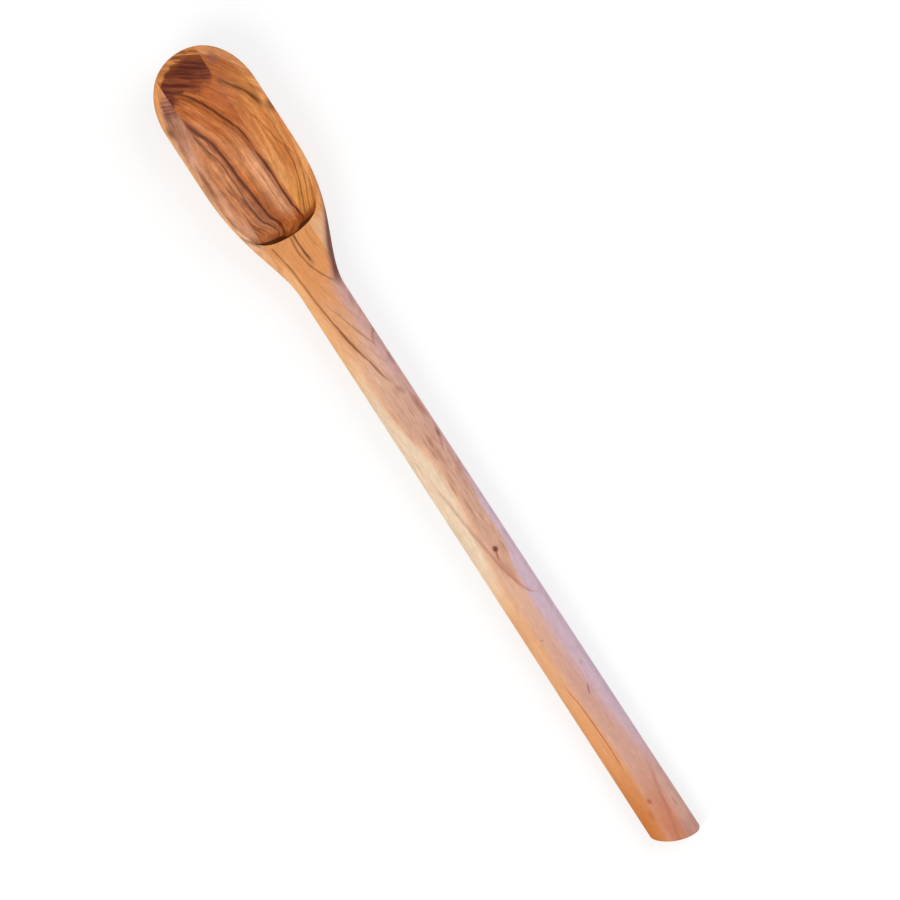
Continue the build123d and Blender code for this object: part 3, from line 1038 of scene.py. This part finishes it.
# %% Stave: growth lines on the neck
neck_top = wood.both(wood.rise(depth, 1.2, 0.5), wood.rise(along, 69.6, 70.2))
upper_fold = path(wood, along, [(69, -1.5), (75, -2.0), (80, -1.3), (84, 0.0), (87, 1.3), (89.5, 2.6)])
lower_fold = path(wood, along, [(68, -0.2), (74, -0.35), (79, 0.05), (84, 0.5)])
faint = path(wood, along, [(69, 4.3), (73, 3.9), (78, 4.6)])
draw_lines(wood, along, layer, (
    (lower_fold, dict(Start=66.0, End=83.0, Strength=0.9, Width=0.6, Haze_Width=-1.3, Fade=5.0)),
    (upper_fold, dict(Start=67.0, End=91.0, Strength=0.6, Width=0.45, Haze_Width=-1.0, Fade=3.0, Seed=1.5)),
    (faint, dict(Start=68.0, End=79.0, Strength=0.3, Width=0.25, Fade=3.0, Seed=2.5))),
    tone(104, 56, 22), brown, 0.3, neck_top)
neck = path(wood, along, [(69, -8.8), (72, -8.1), (75, -7.5), (80, -6.9), (85, -6.7), (90, -6.5), (95, -6.0),
                          (100, -5.3), (105, -4.8), (110, -3.9), (115, -2.7), (118, -1.9), (121, -1.3),
                          (124, -0.7), (127, 0.2), (130, 1.5)])
draw_lines(wood, along, layer, (
    (neck, dict(Start=66.0, End=118.0, Strength=0.8, Width=0.6, Haze_Width=-1.8, Seed=2.0)),),
    tone(150, 90, 40), tone(196, 128, 66), 0.6, neck_top)
draw_lines(wood, along, layer, (
    (neck, dict(Start=98.0, End=130.0, Strength=0.75, Width=0.55, Haze_Width=1.8, Fade=8.0, Seed=3.0)),),
    brown, tone(176, 118, 80), 0.8, neck_top)
tell("Growth lines of the neck", wood)

# %% [markdown]
# ### Flames on the neck and the handle
#
# A few layers come up to the surface and dive again, in narrow arches one within the other. The flame
# group draws each arch as one line, where two joined paths would leave a kink at its tip.

# %% Stave: flames on the neck and the handle
below = {"Core_Below": 0.0, "Haze_Below": 0.0}
for tip, axis, left, right, power, strength in (
        (113.6, 2.2, 3.1, 3.4, 1.0, 0.55), (104.0, 2.6, 2.8, 3.0, 1.1, 0.2),
        (121.0, 2.4, 2.4, 2.2, 1.2, 0.2)):
    shown = wood.group(flame, Along=along, Layer=layer, Tip=tip, Axis=axis, Left_Spread=left,
                       Right_Spread=right,
                       Power=power, Width=0.42, Haze_Width=2.2, Reach=24.0, Seed=tip,
                       Strength=strength, **below)
    below = {"Core_Below": shown["Core"], "Haze_Below": shown["Haze"]}
wood.lay(below["Haze_Below"], heartwood, 0.8)
wood.lay(below["Core_Below"], tone(150, 96, 70))
# Painted shade: a mauve band down the neck's right flank.
lay_flank_shade_band(wood, along, across)
tell("Flames", wood)

# %% [markdown]
# ### The plum patch
#
# Near the tip the wood has drunk oil and turned plum, in slanted stripes with a ragged edge. Two drawn
# edges hold the patch in its place, and noise roughens them.

# %% Stave: plum patch near the tip
rough_edge = wood.math("SUBTRACT", wood.stretched(along, 3.0, across, 3.0, 4.0, 3.0), 0.5)
patch_front = path(wood, across,
                   [(-10.3, 6.2), (-8, 4.6), (-5, 2.9), (-1, 2.3), (1, 2.5), (3, 3.5), (6, 5.2)])
patch_back = path(wood, across,
                  [(-10.3, 13.4), (-8, 12.8), (-5, 11.8), (-2, 12.6), (1, 13.2), (4, 12.6), (6, 11.4)])
into_patch = wood.math("MULTIPLY_ADD", rough_edge, 3.0, wood.math("SUBTRACT", along, patch_front))
left_of_patch = wood.math("MULTIPLY_ADD", rough_edge, 9.0, wood.math("SUBTRACT", patch_back, along))
patch = wood.both(wood.rise(into_patch, -0.4, 0.9), wood.rise(left_of_patch, -2.4, 2.0))
slanted = wood.math("MULTIPLY_ADD", across, -0.62, along)
stripes = wood.stretched(across, 12.0, slanted, 1.15, 5.0, 3.0, 0.6)
wood.lay(patch, tone(136, 66, 40), 0.75)
wood.lay(wood.both(patch, wood.rise(stripes, 0.38, 0.60), wood.rise(left_of_patch, -0.8, 3.6)), plum, 0.9)
wood.lay(wood.both(patch, wood.rise(across, -5.0, 0.5), wood.rise(left_of_patch, 1.0, 6.0)), plum, 0.5)
wood.lay(wood.both(patch, wood.rise(across, -7.0, -9.5)), tone(96, 36, 34), 0.6)
before_patch = wood.within(into_patch, -3.4, -1.4, 0.5, 2.0)
wood.lay(wood.both(before_patch, wood.rise(stripes, 0.46, 0.60)), brown, 0.5)
wood.lay(wood.both(before_patch, wood.rise(stripes, 0.38, 0.52), wood.rise(across, -4.5, -1.5)), brown, 0.85)
tell("Plum patch", wood)

# %% [markdown]
# ### The steep wall
#
# The steep wall at the neck cuts across the fibres and lies in shade, so it is the darkest place of the
# spoon:
# its colour is partly painted shade and partly end grain that drinks oil. One function lays it on all three
# strips, so that it runs on across the glue lines.

# %% Stave: painted shade and dark end grain on the steep wall
lay_wall_shade_and_end_grain(wood, along, across, depth, upward)
tell("Wall", wood)

# %% [markdown]
# ### Knot, dashes and dots
#
# The small knot, short dashes of resin and dots make this board unlike another. Each is a mark with a
# place and a size, and the marks of one colour are laid together. A fine crack and a slanting line follow.

# %% Stave: knot, dashes and dots
lay_marks(wood, along, across, upward, (
    (150.8, 0.4, 2.6, 0.45, -0.03, 0.8, 0.75), (155.5, 0.5, 4.0, 0.6, 0.0, 0.8, 0.5),
    (154.5, -0.8, 2.2, 0.4, 0.0, 0.8, 0.45), (167.0, -1.8, 3.2, 0.25, -0.03, 0.8, 0.6),
    (176.0, -0.6, 4.5, 0.3, 0.0, 0.8, 0.45), (163.0, 3.2, 2.2, 1.0, -0.4, 0.8, 0.4),
    (168.0, 2.8, 1.6, 0.8, 0.0, 0.8, 0.35), (138.0, 3.8, 3.6, 0.8, 0.03, 0.8, 0.65),
    (130.8, 1.4, 1.6, 0.7, 0.3, 0.8, 0.55), (191.2, 1.8, 2.0, 0.25, 0.0, 0.8, 0.7),
    (145.0, -4.4, 3.0, 0.5, 0.08, 0.8, 0.3), (137.5, -5.2, 2.4, 0.4, 0.0, 0.8, 0.3)), tone(172, 104, 80))
lay_marks(wood, along, across, upward, (
    (149.4, 4.1, 1.8, 0.45, -0.12, 0.8, 0.85), (152.5, 3.3, 1.6, 0.4, -0.2, 0.8, 0.45),
    (120.5, 4.4, 2.2, 0.4, -0.05, 0.8, 0.45), (97.5, 4.2, 2.4, 0.5, -0.15, 0.8, 0.35),
    (237.4, 2.4, 0.7, 0.5, 0.0, 0.8, 0.25), (246.0, -0.35, 1.5, 0.32, -0.33, 0.8, 0.8),
    (292.3, 3.2, 1.4, 0.3, 0.0, 0.8, 0.4)), mauve)
lay_marks(wood, along, across, upward, (
    (199.0, -1.5, 5.0, 1.1, 0.16, 0.9, 0.35), (193.4, -1.6, 1.9, 0.35, -0.33, 0.8, 0.75),
    (224.6, -4.6, 0.45, 0.3, 0.6, 0.8, 0.5), (287.9, -3.8, 0.9, 0.55, 0.1, 0.8, 0.8),
    (292.0, -5.8, 1.6, 0.7, 0.0, 0.9, 0.4)), rust)
lay_marks(wood, along, across, upward, (
    (191.3, -0.9, 1.0, 0.85, 0.0, 0.5, 0.9), (21.4, -9.5, 2.6, 0.55, 0.16, 0.8, 0.75)), resin)
crack = wood.group(growth_line, Along=along, Layer=across, Start=239.0, End=277.0, Width=0.2, Fade=7.0,
                   Path=path(wood, along, [(238, -6.8), (242, -6.5), (245, -6.2), (250, -5.6), (257, -5.3),
                                           (266, -5.1), (277, -5.3)]), Seed=9.0)
wood.lay(wood.both(crack["Core"], upward), rust, 0.9)
slanting = wood.rise(wood.math("ABSOLUTE", wood.math("SUBTRACT", across, path(wood, along, [
    (274, 3.4), (280, 2.4), (285, 1.2), (290, 0.4), (297, -0.9), (301, -1.9), (305, -2.8)]))), 1.1, 0.1)
wood.lay(wood.both(slanting, wood.rise(along, 272.0, 284.0)), tone(182, 108, 92), 0.5)
tell("Marks", wood)

# %% [markdown]
# ### Fibres and surface
#
# The fibres come last, as light and dark over the finished figure, and then the oil. They show more in the
# bowl than on the handle, so their contrast changes along the spoon.

# %% Stave: fibres and surface
contrast = wood.math("MULTIPLY_ADD", wood.rise(along, 130.0, 80.0), 0.12, 0.34)
contrast = wood.math("MULTIPLY_ADD", wood.within(along, 92.0, 118.0, 180.0, 215.0), 0.2, contrast)
contrast = wood.math("MULTIPLY_ADD", in_bowl, 0.6, contrast)
weather(wood, fibres, contrast)
oil(wood, fibres, main_lines)
tell("Whole stave", wood)

# %% [markdown]
# ## The cheeks
#
# Both cheeks come from other boards. The right one is golden, with an olive streak. The left one is pinkish
# and pale, with a mauve shadow at its front.

# %% Right cheek
right_material, wood, along, across, depth, layer, upward = strip_material(
    "right_cheek_wood", Lean=0.35, Wander=1.2, Seed=11.0)
bend = path(wood, along, [(0, -4), (14, 4.9), (17, 6.9), (20, 9.2), (22, 10.8), (25, 12.2),
                          (28, 13.2), (34, 12.7), (42, 12.2), (50, 11.3), (55, 9.6), (60, 7.2), (64, 5.2),
                          (66, 4.9), (69, 6.6), (76, 7.6)])
flow = wood.math("SUBTRACT", layer, bend)
fibres = wood.group(fibre, Along=along, Layer=flow, Depth=depth, Seed=21.0)
wood.colour = ochre
wood.lay(wood.rise(fibres["Bands"], 0.42, 0.66), gold, 0.9)
wood.lay(wood.rise(fibres["Bands"], 0.50, 0.32), russet, 0.6)
wood.lay(wood.rise(along, 28.0, 10.0), tone(176, 98, 48), 0.85)
front_rim = wood.both(wood.rise(depth, 1.0, 0.1), wood.rise(along, 24.0, 12.0))
wood.lay(front_rim, tone(222, 150, 96), 0.7)
# Gold towards the neck in the hollow: partly the cheek's golden wood, partly a painted lift of light where
# the wall shades it.
wood.lay(wood.both(wood.rise(along, 44.0, 60.0), wood.rise(depth, 0.3, 1.0)), gold, 0.6)
wood.lay(wood.both(wood.rise(along, 66.0, 72.0), wood.rise(depth, 2.0, 0.5)), tone(232, 178, 134), 0.9)
wood.lay(wood.both(wood.rise(across, 11.0, 6.0), wood.within(along, 8.0, 13.0, 26.0, 36.0)),
         tone(188, 104, 48), 0.6)
streak = draw_lines(wood, along, flow, (
    (0.2, dict(Start=11.0, End=31.0, Strength=0.8, Width=1.3, Haze_Width=-2.4)),), olive, olive, 0.6)
# Painted highlight: a warm glow on the hollow's right wall near the neck, over the cheek's golden wood.
painted_glow = wood.both(wood.within(along, 50.0, 61.0, 68.0, 69.5), wood.rise(across, 13.0, 11.0),
                 wood.rise(depth, 0.5, 1.5), upward)
wood.lay(painted_glow, tone(250, 172, 84), 0.7)
hollow = wood.both(wood.rise(depth, 0.05, 0.3), wood.rise(along, 70.2, 69.6))
draw_lines(wood, along, flow, [
    (offset, dict(Start=start, End=end, Strength=strength, Width=0.5, Haze_Width=1.4, Seed=offset, Fade=4.0))
    for offset, start, end, strength in ((0.0, 42.0, 72.0, 0.75), (2.8, 48.0, 71.0, 0.6),
                                         (5.6, 52.0, 68.0, 0.5),
                                         (-1.6, 54.0, 72.0, 0.5), (1.4, 56.0, 72.0, 0.35))], brown,
           brown, 0.3, hollow)
slow_line = path(wood, along, [(26, 6.6), (28, 7.1), (33, 9.0), (40, 10.6), (45, 12.8), (49, 14.6)])
rim_line = path(wood, along, [(30, 12.4), (36, 13.0), (42, 12.6), (50, 13.4)])
draw_lines(wood, along, layer, (
    (slow_line, dict(Start=25.0, End=50.0, Strength=0.5, Width=0.4, Haze_Width=-1.4, Seed=5.0)),
    (rim_line, dict(Start=29.0, End=50.0, Strength=0.4, Width=0.35, Haze_Width=1.2, Seed=6.0))),
           brown, brown, 0.5)
lay_marks(wood, along, across, upward, (
    (30.6, 16.6, 2.2, 1.4, 0.0, 0.8, 0.65), (26.2, 13.8, 2.6, 0.9, 0.2, 0.8, 0.5)), olive)
lay_marks(wood, along, across, upward, ((7.6, 9.2, 1.8, 1.4, 0.0, 0.8, 0.6),), mauve)
# Painted shade and dark end grain on the steep wall.
lay_wall_shade_and_end_grain(wood, along, across, depth, upward)
# Painted shade: a mauve band down the neck's right flank.
lay_flank_shade_band(wood, along, across)
weather(wood, fibres, wood.math("MULTIPLY_ADD", wood.rise(along, 64.0, 70.0), -0.6, 0.9))
oil(wood, fibres, streak)
tell("Right cheek", wood)

# %% Left cheek
left_material, wood, along, across, depth, layer, upward = strip_material(
    "left_cheek_wood", Lean=0.3, Wander=1.2, Seed=17.0)
bend = path(wood, along, [(0, -10), (14, -12.0), (22, -12.9), (30, -14.0), (38, -14.7),
                          (46, -14.6), (54, -14.0), (60, -13.5), (66, -12.6), (80, -11.0)])
flow = wood.math("SUBTRACT", layer, bend)
fibres = wood.group(fibre, Along=along, Layer=flow, Depth=depth, Seed=31.0)
wood.colour = tone(236, 180, 144)
wood.lay(wood.rise(fibres["Bands"], 0.44, 0.66), blush, 0.9)
wood.lay(wood.rise(fibres["Bands"], 0.50, 0.34), russet, 0.5)
wood.lay(wood.rise(along, 46.0, 60.0), tone(240, 188, 150), 0.6)
wood.lay(wood.both(wood.rise(across, -14.2, -11.4), wood.within(along, 20.0, 34.0, 50.0, 66.0)),
         tone(228, 148, 92), 0.92)
wood.lay(wood.both(wood.within(along, 8.0, 14.0, 22.0, 34.0), wood.rise(depth, 0.5, 1.5)),
         tone(172, 104, 66), 0.65)
outer = wood.math("MAXIMUM", wood.both(wood.rise(depth, 0.9, 0.1), wood.rise(across, -13.0, -15.5)),
                  wood.rise(along, 64.0, 70.0))
wood.lay(outer, tone(236, 172, 118), 0.9)
wood.lay(wood.rise(along, 16.0, 8.0), ochre, 0.7)
wood.lay(wood.both(wood.rise(depth, 1.2, 0.2), wood.rise(along, 26.0, 14.0)), tone(226, 150, 84), 0.7)
slanted = wood.math("MULTIPLY_ADD", across, -0.35, along)
stripes = wood.stretched(across, 11.0, slanted, 1.1, 5.0, 3.0, 0.6)
shadow = wood.both(wood.within(along, 8.0, 12.0, 14.5, 18.0), wood.rise(across, -15.6, -13.0),
                   wood.rise(depth, 0.3, 1.5))
wood.lay(shadow, tone(152, 92, 76), 0.45)
wood.lay(wood.both(shadow, wood.rise(stripes, 0.40, 0.58)), tone(120, 64, 62), 0.75)
draw_lines(wood, along, flow, [
    (offset, dict(Start=start, End=end, Strength=strength, Width=0.5, Haze_Width=-1.5, Seed=offset))
    for offset, start, end, strength in ((-0.6, 32.0, 50.0, 0.45), (0.9, 32.0, 66.0, 0.4),
                                         (-1.8, 22.0, 50.0, 0.3), (2.2, 34.0, 68.0, 0.4),
                                         (3.2, 30.0, 60.0, 0.35))],
    tone(150, 84, 50), brown, 0.22)
lay_marks(wood, along, across, upward, (
    (20.8, -15.7, 1.9, 0.9, 0.0, 0.8, 0.65), (42.0, -14.9, 3.4, 0.5, 0.0, 0.8, 0.3),
    (56.0, -15.0, 3.0, 0.4, 0.1, 0.8, 0.4), (65.0, -12.9, 3.0, 0.5, 0.62, 0.8, 0.6)), olive)
# Painted shade and dark end grain on the steep wall.
lay_wall_shade_and_end_grain(wood, along, across, depth, upward)
weather(wood, fibres, 0.9)
oil(wood, fibres, shadow)
tell("Left cheek", wood)

# %% Dress the strips
for piece, material in ((stave, stave_material), (right_cheek, right_material), (left_cheek, left_material)):
    piece.data.materials.clear()
    piece.data.materials.append(material)
    print(piece.name, "is", material.name, "with", len(material.node_tree.nodes), "nodes")

# %% [markdown]
# ## The studio
#
# The spoon is shown from straight above on a white sweep, as in a shop's picture. A large warm light
# stands on the handle's left, so that the right wall of the hollow is bright and the left wall lies in
# shade. A weaker, cool light answers it from the other side.

# %% Floor
def grey(level):
    return (level, level, level, 1.0)


sweep_level, seen_level, seen_glow = 0.8, 0.36, 0.68
floor_mesh = bpy.data.meshes.new("floor")
floor_reach = 3.0
corners = [(-floor_reach, -floor_reach, 0), (floor_reach, -floor_reach, 0), (floor_reach, floor_reach, 0),
           (-floor_reach, floor_reach, 0)]
floor_mesh.from_pydata(corners, [], [(0, 1, 2, 3)])
floor = bpy.data.objects.new("floor", floor_mesh)
bpy.context.scene.collection.objects.link(floor)
floor_material, recipe = new_material("white_sweep")
seen = recipe.place("ShaderNodeLightPath").outputs["Is Camera Ray"]
recipe.colour = grey(sweep_level)
recipe.lay(seen, grey(seen_level))
values = {"Base Color": recipe.colour, "Roughness": 0.9, "Emission Color": grey(1.0),
          "Emission Strength": recipe.math("MULTIPLY", seen, seen_glow)}
matt = recipe.place("ShaderNodeBsdfPrincipled", values)
recipe.place("ShaderNodeOutputMaterial", {"Surface": matt.outputs[0]})
floor_mesh.materials.append(floor_material)
print("Floor:", 2 * floor_reach, "m wide")

# %% Lights
def add_light(name, place, size, power, colour):
    light = bpy.data.lights.new(name, "AREA")
    light.shape = "DISK"
    light.size = size
    light.energy = power
    light.color = colour
    holder = bpy.data.objects.new(name, light)
    holder.location = place
    holder.rotation_euler = (-Vector(place)).to_track_quat("-Z", "Y").to_euler()
    bpy.context.scene.collection.objects.link(holder)


add_light("key", (0.35, -0.95, 1.1), 1.0, 9.5, (1.0, 0.94, 0.86))
add_light("fill", (-0.1, 1.0, 1.0), 1.2, 8.0, (0.86, 0.92, 1.0))
print("Lights: a warm key and a cool fill")

# %% World
world = bpy.data.worlds.new("studio")
bpy.context.scene.world = world
world.use_nodes = True
world.node_tree.nodes.clear()
recipe = Recipe(world.node_tree)
seen = recipe.place("ShaderNodeLightPath").outputs["Is Camera Ray"]
sky_strength = 0.45
light_level = recipe.math("MULTIPLY_ADD", seen, 0.55, sky_strength)
sky = recipe.place("ShaderNodeBackground", {"Color": grey(1.0), "Strength": light_level})
recipe.place("ShaderNodeOutputWorld", {"Surface": sky.outputs[0]})
bpy.context.scene.view_settings.view_transform = "Standard"
print("World: strength %.2f on the spoon, white to the camera" % sky_strength)

# %% [markdown]
# ### The camera
#
# The camera looks straight down and is turned, so that the spoon lies slantwise in the picture. Its lens
# follows from how high it hangs and how much it sees, which is simpler to judge than a focal length.

# %% Camera
camera_data = bpy.data.cameras.new("camera")
camera = bpy.data.objects.new("camera", camera_data)
bpy.context.scene.collection.objects.link(camera)
camera_height = 1.2
spoon_turn = 56.92
picture_width = 293.2 * mm
picture_centre_x = 3.75 * mm
picture_centre_y = 4.28 * mm
level_in_view = 10 * mm
camera.location = (picture_centre_x, picture_centre_y, level_in_view + camera_height)
camera.rotation_euler = (0, 0, radians(spoon_turn))
camera_data.sensor_width = 36
camera_data.lens = camera_data.sensor_width * camera_height / picture_width
bpy.context.scene.camera = camera
print("Camera: %.2f m up, lens %.0f mm" % (camera_height, camera_data.lens))
